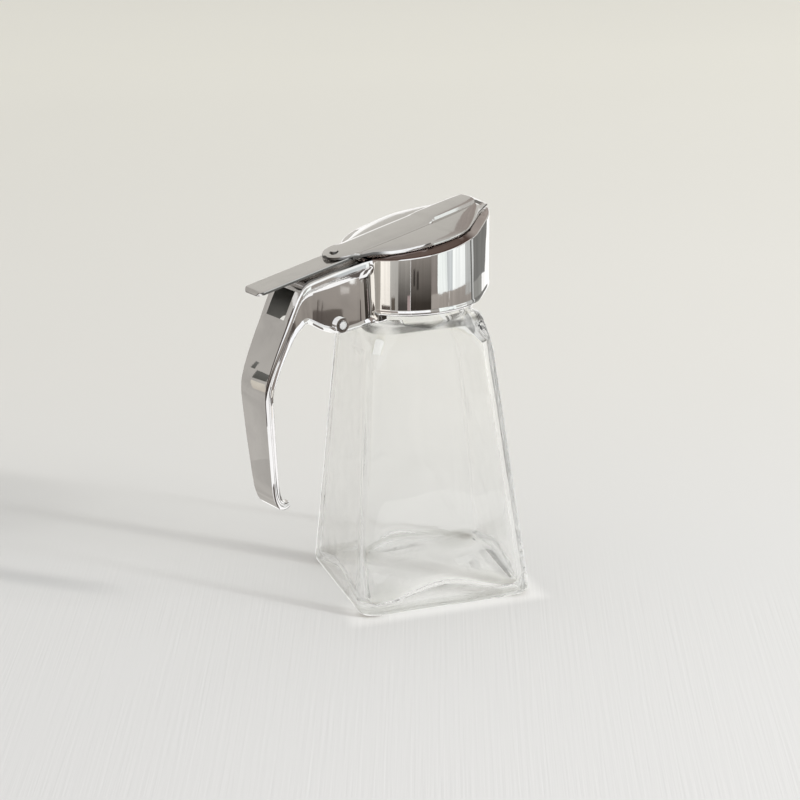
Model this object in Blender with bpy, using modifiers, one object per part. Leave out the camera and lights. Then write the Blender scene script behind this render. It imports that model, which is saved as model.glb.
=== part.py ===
"""Syrup dispenser: a tapered square glass jar under a chrome cap with a handle and a sliding lid.

Metres, +Z up. The origin is the centre of the jar's flat bottom. +X points to the pouring
beak and -X to the handle. The lid and its thumb strip slide back together along RAIL_SLOPE.
"""

import math

import bmesh
import bpy
from mathutils import Matrix, Vector

MM = 0.001

# Driving dimensions, in millimetres and degrees.
JAR_TURN = -16.75           # where the screwed cap stopped, seen as a turn of the jar
JAR_BASE_HALF = 30.7        # half the square footprint
JAR_TOP_HALF = 22.5         # half the square where the shoulder begins
JAR_SHOULDER_Z = 86.0
JAR_MOUTH_Z = 114.0
JAR_WALL = 2.4
NECK_RADIUS = 19.6
NECK_BORE = 16.4
COLLAR_RADIUS = 20.4        # glass ring under the cap

CAP_RADIUS = 23.6
CAP_RIM_Z = 101.8
CAP_WALL = 1.7
BEAK_REACH = 32.3           # tip of the pouring beak
BEAK_EDGE_SOFTNESS = 6.0    # degrees over which the beak's edge is rounded
BEAK_BLEND = 9.0            # degrees over which the round wall turns into the beak's sides

RAIL_SLOPE = 0.16           # rise over run of the plane that the lid slides on
RAIL_Z = 124.4              # height of that plane above the origin
SHOULDER_EDGE = 0.7         # radius of the wall's upper edge
SHOULDER_FALL = 0.2         # slope of the shoulder, from the lid's seat out to that edge
NOSE_START = 6.0            # the lid droops to the beak's tip from here
NOSE_DROOP = 1.0
GAP = 0.3                   # clearance between pieces that touch

LID_TONGUE_END = -34.1
LID_TONGUE_HALF = 7.0
SKIRT_START = -27.6         # from here the lid's sides reach down beside the strip
REAR_LIFT = 0.9             # the lid's rear rim stands this much clear of the cap
REAR_LIFT_START = -15.0
REAR_LIFT_RUN = 8.0
LID_EDGE = 0.9              # thickness of the lid's rim, less at the tip
LID_FRONT = 32.0
CREST_Z = 128.5             # height of the lid's raised channel at x = 0
CREST_SLOPE = 0.18
CREST_RISE = 0.75           # the narrow front of the channel stands this much higher
CREST_RISE_START = 3.8
CREST_RISE_END = 6.2
CREST_END = 23.5            # the raised channel bends down to the beak from here
CREST_STEP = 1.0            # how far the rear of the channel stands above the wings beside it
CREST_CROWN = 0.35          # how much its middle stands above its edges
CREST_ROUND = 0.35          # extra drop where its edges are rounded, above their short upright flank
CREST_ROUND_START = 0.62
CREST_ROUND_POWER = 1.6
CREST_FLANK_START = 0.97
CREST_STEP_LIMIT = 0.62     # the step takes at most this share of the lid's height above its rim
WING_FALL = 2.3             # the wings start flat and fall ever more steeply to the rim

STRIP_HALF = 5.4
STRIP_END = -63.9
STRIP_START = -25.0
STRIP_Z = 126.73            # height of the strip's top face, carried on to x = 0
STRIP_SLOPE = 0.172
TONGUE_THICK = 0.75
STRIP_THICK = 1.2
STRIP_LIP_RADIUS = 2.0      # the strip's far end curls down round this radius
STRIP_LIP_HALF = 3.3        # half width of the curled end
STUD_X = -30.6
STUD_RADIUS = 1.25
STUD_PROUD = 0.45           # how far the stud's head stands above the lid's tongue

PIN_X = -33.7
PIN_Z = 100.3
PIN_RADIUS = 1.4
PIN_LENGTH = 18.2
BOSS_RADIUS = 2.5           # round boss on each side of the gusset, for the pin
BOSS_LENGTH = 2.7
BOSS_MIDDLE = 7.2           # its middle, off the symmetry plane

WEB_MARGIN = 0.05           # the flat web keeps this share of its depth clear of fillet and bead
WINDOW_HALF = 5.4
WINDOW_LOW_Z = 105.2
WINDOW_HIGH_Z = 114.2

# Outline of the lid in front of its tongue: x and half width.
LID_OUTLINE = [(-27.1, 7.0), (-25.0, 7.6), (-22.5, 8.3), (-20.0, 9.3), (-17.0, 11.6), (-14.0, 14.0),
               (-10.0, 16.2), (-4.0, 18.2), (2.0, 19.1), (7.0, 18.8), (12.0, 16.7), (18.0, 11.9), (25.0, 5.7),
               (29.0, 2.5), (LID_FRONT, 0.5)]
# The raised channel: x and half width. It steps in over the middle of the lid.
CREST_OUTLINE = [(-34.0, 7.6), (-27.0, 6.6), (-24.0, 6.4), (-18.0, 6.5), (-8.0, 6.7), (4.0, 6.6), (6.0, 5.6),
                 (14.0, 5.5), (22.0, 5.0), (27.0, 2.6), (LID_FRONT, 0.3)]
# Where the channel's cross-section is drawn: shares of its half width.
CREST_SHARES = (0.0, 0.35, CREST_ROUND_START, 0.74, 0.84, 0.92, CREST_FLANK_START, 1.0)
# The handle: outer x and z, inner x and z, half width, and how far its sides are set in.
HANDLE_STATIONS = [
    (-18.6, 121.0, -18.6, 99.8, 12.1, 0.0),
    (-20.6, 120.8, -20.6, 99.2, 10.95, 0.0),
    (-21.55, 120.7, -21.55, 99.0, 9.8, 0.12),
    (-22.2, 120.6, -22.2, 98.8, 9.3, 0.6),
    (-23.05, 120.5, -23.05, 98.5, 9.1, 1.2),
    (-24.1, 120.4, -24.2, 98.2, 9.0, 1.58),
    (-25.3, 120.3, -25.6, 97.9, 9.0, 1.75),
    (-26.5, 120.1, -27.1, 97.6, 9.0, 1.75),
    (-32.0, 119.3, -34.0, 97.2, 9.0, 1.75),
    (-37.0, 118.5, -40.0, 99.2, 9.0, 1.75),
    (-41.5, 117.7, -43.4, 101.2, 9.0, 1.75),
    (-45.6, 116.9, -45.8, 102.7, 9.0, 1.7),
    (-48.6, 115.2, -47.8, 102.9, 8.9, 1.4),
    (-50.6, 112.5, -49.5, 101.6, 8.8, 1.2),
    (-53.0, 108.0, -51.2, 100.2, 8.7, 1.0),
    (-55.3, 103.4, -52.9, 97.9, 8.6, 0.9),
    (-57.7, 98.7, -54.5, 95.3, 8.5, 0.8),
    (-61.2, 91.3, -57.7, 89.8, 8.3, 0.7),
    (-63.5, 85.3, -60.2, 83.9, 8.1, 0.6),
    (-64.2, 81.0, -61.0, 80.7, 8.0, 0.6),
    (-64.1, 76.0, -61.0, 76.0, 7.8, 0.5),
    (-63.5, 65.0, -60.5, 65.0, 7.3, 0.5),
    (-62.7, 54.0, -59.9, 54.0, 6.7, 0.5),
    (-62.1, 47.0, -59.4, 47.4, 6.3, 0.5),
    (-61.2, 43.2, -58.6, 44.9, 6.0, 0.4),
    (-59.5, 40.7, -57.7, 43.4, 5.8, 0.4),
    (-57.0, 40.0, -56.6, 43.0, 5.6, 0.3),
    (-55.2, 40.9, -55.8, 43.0, 5.4, 0.3),
]


def clear_scene():
    """Remove whatever the file holds."""
    for thing in list(bpy.data.objects):
        bpy.data.objects.remove(thing, do_unlink=True)
    for group in list(bpy.data.collections):
        bpy.data.collections.remove(group)


def new_collection(name):
    group = bpy.data.collections.new(name)
    bpy.context.scene.collection.children.link(group)
    return group


def material(name, colour, roughness, metallic, transmission=0.0):
    """A Principled material."""
    made = bpy.data.materials.new(name)
    made.use_nodes = True
    shader = made.node_tree.nodes["Principled BSDF"]
    shader.inputs["Base Color"].default_value = (*colour, 1.0)
    shader.inputs["Roughness"].default_value = roughness
    shader.inputs["Metallic"].default_value = metallic
    shader.inputs["Transmission Weight"].default_value = transmission
    return made


def smooth_table(table, x, column=1):
    """Read a column of a table at x, through a smooth monotone curve."""
    rows = sorted(table)
    if x <= rows[0][0]:
        return rows[0][column]
    if x >= rows[-1][0]:
        return rows[-1][column]
    upper = next(i for i, row in enumerate(rows) if row[0] >= x)
    low, high = rows[upper - 1], rows[upper]
    run = high[0] - low[0]
    rise = (high[column] - low[column]) / run

    def slope_at(index):
        if index in (0, len(rows) - 1):
            return rise
        before = (rows[index][column] - rows[index - 1][column]) / (rows[index][0] - rows[index - 1][0])
        after = (rows[index + 1][column] - rows[index][column]) / (rows[index + 1][0] - rows[index][0])
        if before * after <= 0:
            return 0.0
        return 2 * before * after / (before + after)

    t = (x - low[0]) / run
    start, end = slope_at(upper - 1) * run, slope_at(upper) * run
    a, b = low[column], high[column]
    return (a * (2 * t**3 - 3 * t**2 + 1) + start * (t**3 - 2 * t**2 + t)
            + b * (3 * t**2 - 2 * t**3) + end * (t**3 - t**2))


def make_mesh_object(name, bm, group, look=None, sharp_degrees=30):
    """Turn a bmesh in millimetres into an object in metres, shaded smooth with sharp creases."""
    bmesh.ops.scale(bm, vec=(MM, MM, MM), verts=bm.verts)
    bmesh.ops.recalc_face_normals(bm, faces=bm.faces)
    mesh = bpy.data.meshes.new(name)
    bm.to_mesh(mesh)
    bm.free()
    mesh.shade_smooth()
    mesh.set_sharp_from_angle(angle=math.radians(sharp_degrees))
    thing = bpy.data.objects.new(name, mesh)
    if look:
        mesh.materials.append(look)
    group.objects.link(thing)
    return thing


def loft(rings):
    """Skin rings of equal length and cap the two ends."""
    bm = bmesh.new()
    rows = [[bm.verts.new(point) for point in ring] for ring in rings]
    for one, two in zip(rows, rows[1:]):
        count = len(one)
        for k in range(count):
            after = (k + 1) % count
            bm.faces.new((one[k], one[after], two[after], two[k]))
    bm.faces.new(rows[0])
    bm.faces.new(rows[-1])
    return bm


def as_cutter(thing):
    thing.hide_render = True
    thing.display_type = "WIRE"
    return thing


def boolean(thing, other, operation):
    """Join or cut with an exact Boolean modifier."""
    step = thing.modifiers.new(operation.lower() + "_" + other.name, "BOOLEAN")
    step.operation = operation
    step.solver = "EXACT"
    step.object = other
    return step


def rod(radius, length, centre, lying=False, segments=24):
    """A round rod as a bmesh: upright, or lying along Y."""
    bm = bmesh.new()
    bmesh.ops.create_cone(bm, cap_ends=True, segments=segments, radius1=radius, radius2=radius, depth=length)
    if lying:
        bmesh.ops.rotate(bm, cent=(0, 0, 0), matrix=Matrix.Rotation(math.pi / 2, 3, "X"), verts=bm.verts)
    bmesh.ops.translate(bm, vec=centre, verts=bm.verts)
    return bm


# ---------------------------------------------------------------- jar

CORNER_ANGLES = [0, 9, 18, 26, 32, 36.5, 40, 42.7, 45, 47.3, 50, 53.5, 58, 64, 72, 81]


def rounded_square_radius(half, corner, degrees):
    """Distance from the centre of a rounded square to its edge, in one direction."""
    fold = abs((degrees + 45) % 90 - 45)
    angle = math.radians(fold)
    centre = half - corner
    if half * math.tan(angle) <= centre:
        return half / math.cos(angle)
    across = centre * (math.cos(angle) - math.sin(angle))
    return centre * (math.cos(angle) + math.sin(angle)) + math.sqrt(max(corner**2 - across**2, 0.0))


def jar_ring(half, corner, height, mid_lift=0.0):
    """One level of the jar. mid_lift raises the middle of each side above the corners."""
    ring = []
    for quarter in range(4):
        for step in CORNER_ANGLES:
            degrees = quarter * 90 + step
            radius = rounded_square_radius(half, corner, degrees)
            lift = mid_lift * math.cos(2 * math.radians(degrees)) ** 2
            turned = math.radians(degrees + JAR_TURN)
            ring.append((radius * math.cos(turned), radius * math.sin(turned), height + lift))
    return ring


def body_half(height):
    """Half the square body at a height, from the heel to the shoulder."""
    share = (height - 3.0) / (JAR_SHOULDER_Z - 3.0)
    return JAR_BASE_HALF + (JAR_TOP_HALF - JAR_BASE_HALF) * share


def build_jar(group, look):
    outer = [
        jar_ring(JAR_BASE_HALF - 3.2, 5.0, 0.0),
        jar_ring(JAR_BASE_HALF - 1.2, 5.0, 0.5),
        jar_ring(JAR_BASE_HALF - 0.3, 5.0, 1.5),
        jar_ring(JAR_BASE_HALF, 5.0, 3.0),
    ]
    for height in (20.0, 42.0, 64.0, 82.0):
        outer.append(jar_ring(body_half(height), 5.0, height))
    # Height, half width, corner radius and lift of the middle of each side.
    shoulder = [(86.0, 22.5, 5.0, 0.0), (90.0, 21.8, 5.5, 0.0), (93.4, 21.2, 7.0, 0.0),
                (96.2, 20.8, 9.0, -0.6), (98.0, 20.4, 12.0, -1.6), (98.9, 20.0, 16.5, -2.4),
                (99.2, 19.7, 19.7, -2.8), (99.5, COLLAR_RADIUS - 0.1, COLLAR_RADIUS - 0.1, -2.8),
                (100.0, COLLAR_RADIUS, COLLAR_RADIUS, -2.2), (100.9, COLLAR_RADIUS, COLLAR_RADIUS, -0.8),
                (101.8, COLLAR_RADIUS - 0.1, COLLAR_RADIUS - 0.1, 0.0),
                (102.6, NECK_RADIUS, NECK_RADIUS, 0.0)]
    for height, half, corner, lift in shoulder:
        outer.append(jar_ring(half, corner, height, lift))
    for height, radius in ((JAR_MOUTH_Z - 0.8, NECK_RADIUS), (JAR_MOUTH_Z, NECK_RADIUS - 0.8)):
        outer.append(jar_ring(radius, radius, height))
    inner = [jar_ring(NECK_BORE + 0.8, NECK_BORE + 0.8, JAR_MOUTH_Z),
             jar_ring(NECK_BORE, NECK_BORE, JAR_MOUTH_Z - 0.8),
             jar_ring(NECK_BORE, NECK_BORE, 99.0),
             jar_ring(17.6, 12.0, 95.0)]
    for height in (89.0, 64.0, 42.0, 20.0):
        inner.append(jar_ring(body_half(height) - JAR_WALL, 4.0, height))
    inner.append(jar_ring(JAR_BASE_HALF - JAR_WALL - 0.4, 4.2, 6.6, 4.0))
    inner.append(jar_ring(JAR_BASE_HALF - JAR_WALL - 1.0, 4.4, 4.2, 4.6))
    inner.append(jar_ring(JAR_BASE_HALF - JAR_WALL - 2.4, 5.0, 3.2, 4.2))
    inner.append(jar_ring(JAR_BASE_HALF - JAR_WALL - 7.5, 6.5, 3.4, 2.6))
    inner.append(jar_ring(12.0, 8.0, 4.6, 0.3))
    return make_mesh_object("jar", loft(outer + inner), group, look, 40)


# ---------------------------------------------------------------- cap

CAP_ANGLES = sorted({round(360 * k / 72, 3) for k in range(72)} | {1.5, 3.0, 357.0, 358.5, 7.5, 352.5})


def rail(x):
    """Height of the plane that the lid slides on."""
    return RAIL_Z + RAIL_SLOPE * x


def wall_radius(degrees, grow=0.0, radius=CAP_RADIUS, reach=BEAK_REACH):
    """The cap's wall from above: a circle drawn out to a beak by two tangents."""
    half = abs((degrees + 180) % 360 - 180)
    tangent = math.degrees(math.acos(radius / reach)) + BEAK_EDGE_SOFTNESS
    lean = tangent - math.hypot(half, BEAK_EDGE_SOFTNESS)
    eased = (lean + math.hypot(lean, BEAK_BLEND)) / 2 - BEAK_BLEND**2 / 4 / (tangent - BEAK_EDGE_SOFTNESS)
    return radius / math.cos(math.radians(max(eased, 0.0))) + grow


def droop(x):
    """How far the lid and its seat fall below the sliding plane towards the beak."""
    return NOSE_DROOP * max(0.0, (x - NOSE_START) / (LID_FRONT - NOSE_START)) ** 1.4


def lid_half_width(x):
    """Half width of the lid at x, its tongue with a round end included."""
    centre = LID_TONGUE_END + LID_TONGUE_HALF
    if x < centre:
        return math.sqrt(max(LID_TONGUE_HALF**2 - (x - centre) ** 2, 0.0))
    return smooth_table(LID_OUTLINE, x)


def nose_relief(x):
    """Extra clearance under the drooping nose, so that it can slide back."""
    return 0.25 * min(max((x - NOSE_START) / 6.0, 0.0), 1.0)


def deck_radius(degrees, inset=0.0):
    """Distance from the axis to the seat's edge under the lid, by bisection along the ray."""
    angle = math.radians(degrees)
    low, high = 1.0, BEAK_REACH
    for _ in range(40):
        mid = (low + high) / 2
        inside = abs(mid * math.sin(angle)) < lid_half_width(mid * math.cos(angle))
        low, high = (mid, high) if inside else (low, mid)
    return min(low, CAP_RADIUS - 2.0 if math.cos(angle) < 0 else BEAK_REACH - 0.4) - inset


def shoulder_point(degrees, turn):
    """Radius and height on the wall's upper edge, from the wall (turn 0) to the shoulder (turn 90)."""
    seat, inner = seat_point(degrees)
    edge = wall_radius(degrees)
    radius = min(SHOULDER_EDGE, 0.6 * (edge - inner))
    angle = math.radians(turn)
    top = seat - SHOULDER_FALL * (edge - radius - inner)
    return edge - radius * (1 - math.cos(angle)), top - radius * (1 - math.sin(angle))


def seat_point(degrees):
    """Height and radius of the seat's edge, just under the lid's rim."""
    inner = min(deck_radius(degrees), wall_radius(degrees) - 0.8)
    x = inner * math.cos(math.radians(degrees))
    return rail(x) - droop(x) - nose_relief(x), inner


def polar(radius, degrees, height):
    angle = math.radians(degrees)
    return (radius * math.cos(angle), radius * math.sin(angle), height)


def build_housing(group, look):
    """The round housing as a solid plug, up to the seat of the lid."""
    rings = []
    for height, grow in ((CAP_RIM_Z, -0.9), (CAP_RIM_Z, -0.35), (CAP_RIM_Z + 0.35, 0.1),
                         (CAP_RIM_Z + 1.0, 0.25), (CAP_RIM_Z + 1.6, 0.05), (CAP_RIM_Z + 2.2, 0.0)):
        rings.append([polar(wall_radius(a, grow, reach=BEAK_REACH - 0.9), a, height) for a in CAP_ANGLES])
    foot = CAP_RIM_Z + 2.2
    for share in (0.35, 0.7, 1.0):
        ring = []
        for a in CAP_ANGLES:
            height = foot + (shoulder_point(a, 0)[1] - foot) * share
            ring.append(polar(wall_radius(a, reach=BEAK_REACH - 0.9 * (1 - share)), a, height))
        rings.append(ring)
    for turn in (30, 60, 90):
        rings.append([polar(shoulder_point(a, turn)[0], a, shoulder_point(a, turn)[1]) for a in CAP_ANGLES])
    rings.append([polar(seat_point(a)[1], a, seat_point(a)[0]) for a in CAP_ANGLES])
    return make_mesh_object("cap", loft(rings), group, look, 35)


def build_bore(group):
    """The cutter that hollows the housing: a round bore below, a pouring throat above."""
    lower = [[polar(wall_radius(a, -CAP_WALL, reach=BEAK_REACH - 0.9), a, height) for a in CAP_ANGLES]
             for height in (CAP_RIM_Z - 3.0, CAP_RIM_Z + 13.4)]
    throat = []
    for drop in (2.6, 1.2, -3.0):
        ring = []
        for a in CAP_ANGLES:
            inner = min(deck_radius(a, 2.0), wall_radius(a) - 2.6)
            ring.append(polar(inner, a, rail(inner * math.cos(math.radians(a))) - drop))
        throat.append(ring)
    return as_cutter(make_mesh_object("cap_bore", loft(lower + throat), group))


def handle_station(place):
    """Interpolate the handle's stations at a fractional index."""
    index = min(int(place), len(HANDLE_STATIONS) - 2)
    t = place - index
    before = HANDLE_STATIONS[max(index - 1, 0)]
    one, two = HANDLE_STATIONS[index], HANDLE_STATIONS[index + 1]
    after = HANDLE_STATIONS[min(index + 2, len(HANDLE_STATIONS) - 1)]
    values = []
    for p, a, b, q in zip(before, one, two, after):
        values.append(0.5 * (2 * a + (b - p) * t + (2 * p - 5 * a + 4 * b - q) * t**2
                             + (3 * a - p - 3 * b + q) * t**3))
    return values


def handle_section(place):
    """A channel section: a strap with rounded edges, set-in sides, and beads along their lower edge."""
    out_x, out_z, in_x, in_z, half, set_in = handle_station(place)
    depth = math.hypot(in_x - out_x, in_z - out_z)
    along = Vector((in_x - out_x, 0.0, in_z - out_z)) / depth
    edge = min(2.1, 0.36 * depth)
    fillet = min(3.2, 0.16 * depth)
    bead = min(2.0, 0.36 * depth)
    side = half - set_in
    strap = min(1.5, 0.45 * depth)
    web = min(1.5, 0.3 * half)
    round_over = 0.45 * edge
    swell = min(0.8, 1.4 * set_in)
    profile = [
        (0.0, 0.0), (0.0, 0.6 * half), (0.0, half - round_over), (0.3 * round_over, half - 0.3 * round_over),
        (round_over, half), (edge, half), (edge + 0.12 * fillet, half - 0.25 * set_in),
        (edge + 0.4 * fillet, half - 0.7 * set_in), (edge + fillet, side),
        (edge + fillet + WEB_MARGIN * depth, side), (depth - bead - WEB_MARGIN * depth, side),
        (depth - bead, side), (depth - 0.78 * bead, side + 0.6 * swell), (depth - 0.45 * bead, side + swell),
        (depth - 0.12 * bead, side + 0.6 * swell), (depth, side - 0.1), (depth, side - web),
        (depth - 0.3 * bead, side - web - 0.3), (strap + 0.6, side - web - 0.3), (strap, side - web - 0.9),
        (strap, 0.5 * side),
    ]
    ring = []
    mirrored = [(s, -y) for s, y in reversed(profile) if y > 0]
    for s, y in [*profile, (strap, 0.0), *mirrored]:
        ring.append((out_x + along.x * s, y, out_z + along.z * s))
    return ring


def build_handle(group):
    """The handle as one closed channel, from inside the housing's wall down to its hooked foot."""
    last = len(HANDLE_STATIONS) - 1
    steps = 2 * last
    rings = [handle_section(last * k / steps) for k in range(steps + 1)]
    return make_mesh_object("handle_blank", loft(rings), group, None, 35)


def build_window(group):
    """The cutter for the window in the handle's outer face, square to that face."""
    low = next(row for row in HANDLE_STATIONS if row[1] < WINDOW_LOW_Z)
    high = next(row for row in reversed(HANDLE_STATIONS) if row[1] > WINDOW_LOW_Z + 6)
    run = Vector((low[0] - high[0], 0, low[1] - high[1])).normalized()
    out = Vector((run.z, 0, -run.x))
    x_low = high[0] + (WINDOW_LOW_Z - high[1]) * run.x / run.z
    x_high = high[0] + (WINDOW_HIGH_Z - high[1]) * run.x / run.z
    bm = bmesh.new()
    bmesh.ops.create_cube(bm, size=1.0)
    corners = {-0.5: Vector((x_low, 0, WINDOW_LOW_Z)), 0.5: Vector((x_high, 0, WINDOW_HIGH_Z))}
    for vert in bm.verts:
        base = corners[round(vert.co.z, 1)]
        depth = 4.0 if vert.co.x < 0 else -3.2
        side = math.copysign(WINDOW_HALF, vert.co.y)
        vert.co = base + out * depth + Vector((0, side, 0))
    return as_cutter(make_mesh_object("window_cutter", bm, group))


def build_cap(parts, cutters, look):
    """Housing, gusset and handle are one casting."""
    cap = build_housing(parts, look)
    handle = as_cutter(build_handle(cutters))
    boolean(cap, handle, "UNION")
    for side in (-1, 1):
        name = "boss_near" if side < 0 else "boss_far"
        blank = rod(BOSS_RADIUS, BOSS_LENGTH, (PIN_X, side * BOSS_MIDDLE, PIN_Z), True, 28)
        boss = as_cutter(make_mesh_object(name, blank, cutters))
        boolean(cap, boss, "UNION")
    boolean(cap, build_bore(cutters), "DIFFERENCE")
    boolean(cap, build_window(cutters), "DIFFERENCE")
    hole = rod(PIN_RADIUS + GAP, PIN_LENGTH + 5.0, (PIN_X, 0, PIN_Z), True)
    boolean(cap, as_cutter(make_mesh_object("pin_hole", hole, cutters)), "DIFFERENCE")
    return cap


# ---------------------------------------------------------------- lid and thumb strip

def lid_base(x):
    """Height of the lid's underside."""
    lift = min(max((REAR_LIFT_START - x) / REAR_LIFT_RUN, 0.0), 1.0)
    return rail(x) + GAP - droop(x) + REAR_LIFT * lift**2 * (3 - 2 * lift)


def lid_rim(x):
    """Height of the rim's top, which thins towards the tip."""
    return lid_base(x) + LID_EDGE - 0.4 * max(0.0, x / LID_FRONT) ** 2


def crest_rise(x):
    """How much higher the front of the raised channel stands."""
    return CREST_RISE * min(max((x - CREST_RISE_START) / (CREST_RISE_END - CREST_RISE_START), 0.0), 1.0)


def crest_drop(share, step):
    """How far the channel's surface lies below its middle: a crown, a rounded edge, an upright flank."""
    rounding = min(max((share - CREST_ROUND_START) / (CREST_FLANK_START - CREST_ROUND_START), 0.0), 1.0)
    flank = max(0.0, (share - CREST_FLANK_START) / (1 - CREST_FLANK_START))
    round_drop = min(CREST_ROUND, 0.5 * (step - CREST_CROWN))
    edge = round_drop * rounding**CREST_ROUND_POWER + (step - CREST_CROWN - round_drop) * flank
    return CREST_CROWN * share**2 + edge


def crest_height(x):
    """Height of the raised channel, which bends down to the beak's tip."""
    top = CREST_Z + CREST_SLOPE * x + crest_rise(x)
    if x <= CREST_END:
        return max(top, strip_top(x) + GAP + TONGUE_THICK) if x < -20.0 else top
    share = (x - CREST_END) / (LID_FRONT - CREST_END)
    start = CREST_Z + CREST_SLOPE * CREST_END + CREST_RISE
    rounding = CREST_SLOPE * (x - CREST_END) * (1 - share) ** 3
    return start + rounding + (lid_rim(LID_FRONT) - start) * share**1.15


def strip_top(x):
    """Height of the thumb strip's upper face."""
    return STRIP_Z + STRIP_SLOPE * x


def lid_section(x):
    """One cross-section of the lid: crest, small step, convex wing, thin rim, flat underside."""
    half = lid_half_width(x)
    crest = min(smooth_table(CREST_OUTLINE, x), 0.94 * half)
    base = lid_base(x)
    rim = lid_rim(x)
    top = crest_height(x)
    full_step = min(CREST_STEP + crest_rise(x), CREST_STEP_LIMIT * (top - rim))
    step = full_step if half - crest > 1.0 else CREST_CROWN
    shape = [(share * crest, top - crest_drop(share, step)) for share in CREST_SHARES]
    wing_top = top - step
    for share in (0.06, 0.2, 0.42, 0.66, 0.86, 0.965):
        fall = share**WING_FALL
        shape.append((crest + (half - crest) * share, wing_top + (rim - wing_top) * fall))
    shape += [(half, rim - 0.35), (half, base)]
    under = [(0.66 * half, base), (0.33 * half, base)]
    right = shape + under
    left = [(-y, z) for y, z in reversed(right) if y > 0]
    return [(x, y, z) for y, z in [*right, (0.0, base), *left]]


def lid_stations():
    """Places along the lid: close together at its two ends."""
    tail = [LID_TONGUE_END + d for d in (0.12, 0.5, 1.2, 2.3, 3.8, 5.4, 7.0)]
    rear = [-25.6, -24.0, -21.0, -18.5, -16.0, -13.0, -10.0, -7.0, -4.0, -1.0, 2.0]
    rise = [3.5, 4.3, 5.0, 5.7, 6.5, 8.5, 11.5]
    front = [14.0, 16.5, 19.0, 21.0, CREST_END, 24.0, 25.5, 27.5, 29.3, 30.8, LID_FRONT]
    return tail + rear + rise + front


def build_lid(parts, cutters, look):
    lid = make_mesh_object("lid", loft([lid_section(x) for x in lid_stations()]), parts, look, 30)
    narrow = STRIP_HALF + GAP
    near_side = [(LID_TONGUE_END - 2.0, -10.0), (SKIRT_START, -10.0), (SKIRT_START, -narrow),
                 (STRIP_START + GAP, -narrow)]
    plan = near_side + [(x, -y) for x, y in reversed(near_side)]
    slot = loft([[(x, y, rail(x) - 2.0) for x, y in plan], [(x, y, strip_top(x) + GAP) for x, y in plan]])
    boolean(lid, as_cutter(make_mesh_object("strip_slot", slot, cutters)), "DIFFERENCE")
    hole = rod(STUD_RADIUS + GAP, 20.0, (STUD_X, 0, rail(STUD_X)))
    boolean(lid, as_cutter(make_mesh_object("stud_hole", hole, cutters)), "DIFFERENCE")
    return lid


def strip_section(x):
    """A flat bar with eased upper edges, in line with the sliding plane."""
    top = strip_top(x)
    low = top - STRIP_THICK
    half = STRIP_HALF
    return [(x, -half + 0.5, top), (x, -half + 0.12, top - 0.15), (x, -half, top - 0.5), (x, -half, low),
            (x, -half + 0.8, low), (x, half - 0.8, low), (x, half, low),
            (x, half, top - 0.5), (x, half - 0.12, top - 0.15), (x, half - 0.5, top)]


def build_strip(parts, cutters, look):
    """The thumb strip: flat along the rail, with its far end narrowed and curled down."""
    bend_x = STRIP_END + 2.6
    rings = [strip_section(x) for x in (STRIP_START, -42.0, STRIP_END + 5.0, bend_x)]
    centre_z = strip_top(bend_x) - STRIP_LIP_RADIUS
    for degrees in (12, 26, 42, 60, 78):
        turn = math.radians(degrees)
        narrow = 1 - (1 - STRIP_LIP_HALF / STRIP_HALF) * (degrees / 78) ** 1.5
        ring = []
        for _, y, z in strip_section(bend_x):
            away = z - centre_z
            ring.append((bend_x - away * math.sin(turn), y * narrow, centre_z + away * math.cos(turn)))
        rings.append(ring)
    strip = make_mesh_object("thumb_strip", loft(rings), parts, look, 30)
    foot = strip_top(STUD_X) - STRIP_THICK / 2
    height = crest_height(STUD_X) + STUD_PROUD - foot
    stud = rod(STUD_RADIUS, height, (STUD_X, 0, foot + height / 2), segments=20)
    boolean(strip, as_cutter(make_mesh_object("stud", stud, cutters)), "UNION")
    return strip


# ---------------------------------------------------------------- pin

def build_pin(parts, look):
    """The cross pin, with slightly domed heads."""
    pin = make_mesh_object("pin", rod(PIN_RADIUS, PIN_LENGTH, (PIN_X, 0, PIN_Z), True), parts, look)
    ease = pin.modifiers.new("eased_heads", "BEVEL")
    ease.width = 0.35 * MM
    ease.segments = 2
    ease.limit_method = "ANGLE"
    ease.angle_limit = math.radians(60)
    return pin


def main():
    clear_scene()
    parts = new_collection("syrup_dispenser")
    cutters = new_collection("cutters")
    glass = material("clear_glass", (0.93, 0.96, 0.94), 0.03, 0.0, 1.0)
    chrome = material("bright_chrome", (0.78, 0.77, 0.76), 0.06, 1.0)
    stamped = material("stamped_chrome", (0.72, 0.71, 0.69), 0.12, 1.0)
    steel = material("pin_steel", (0.66, 0.66, 0.66), 0.2, 1.0)
    build_jar(parts, glass)
    build_cap(parts, cutters, chrome)
    slide = bpy.data.objects.new("slide_axis", None)
    slide.location = (0.0, 0.0, RAIL_Z * MM)
    parts.objects.link(slide)
    bpy.context.view_layer.update()
    for thing in (build_lid(parts, cutters, stamped), build_strip(parts, cutters, stamped)):
        thing.parent = slide
        thing.matrix_parent_inverse = slide.matrix_world.inverted()
    build_pin(parts, steel)


main()
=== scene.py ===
# %% [markdown]
# # A syrup dispenser: glass jar, chrome pouring cap, sliding lid
#
# The real thing is a pressed-glass jar, square below and round at the neck, with a cast and chromed
# cap on it. A thumb strip on the handle draws the lid back and uncovers the beak. This lesson loads
# the solid model of those five pieces as a fixed frame, and gives each the finish that it has on a
# breakfast table: bright plate on the casting, softer plate on the pressed lid, and thick clear glass.

import math

import bmesh
import bpy
from mathutils import Matrix, Vector

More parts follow.
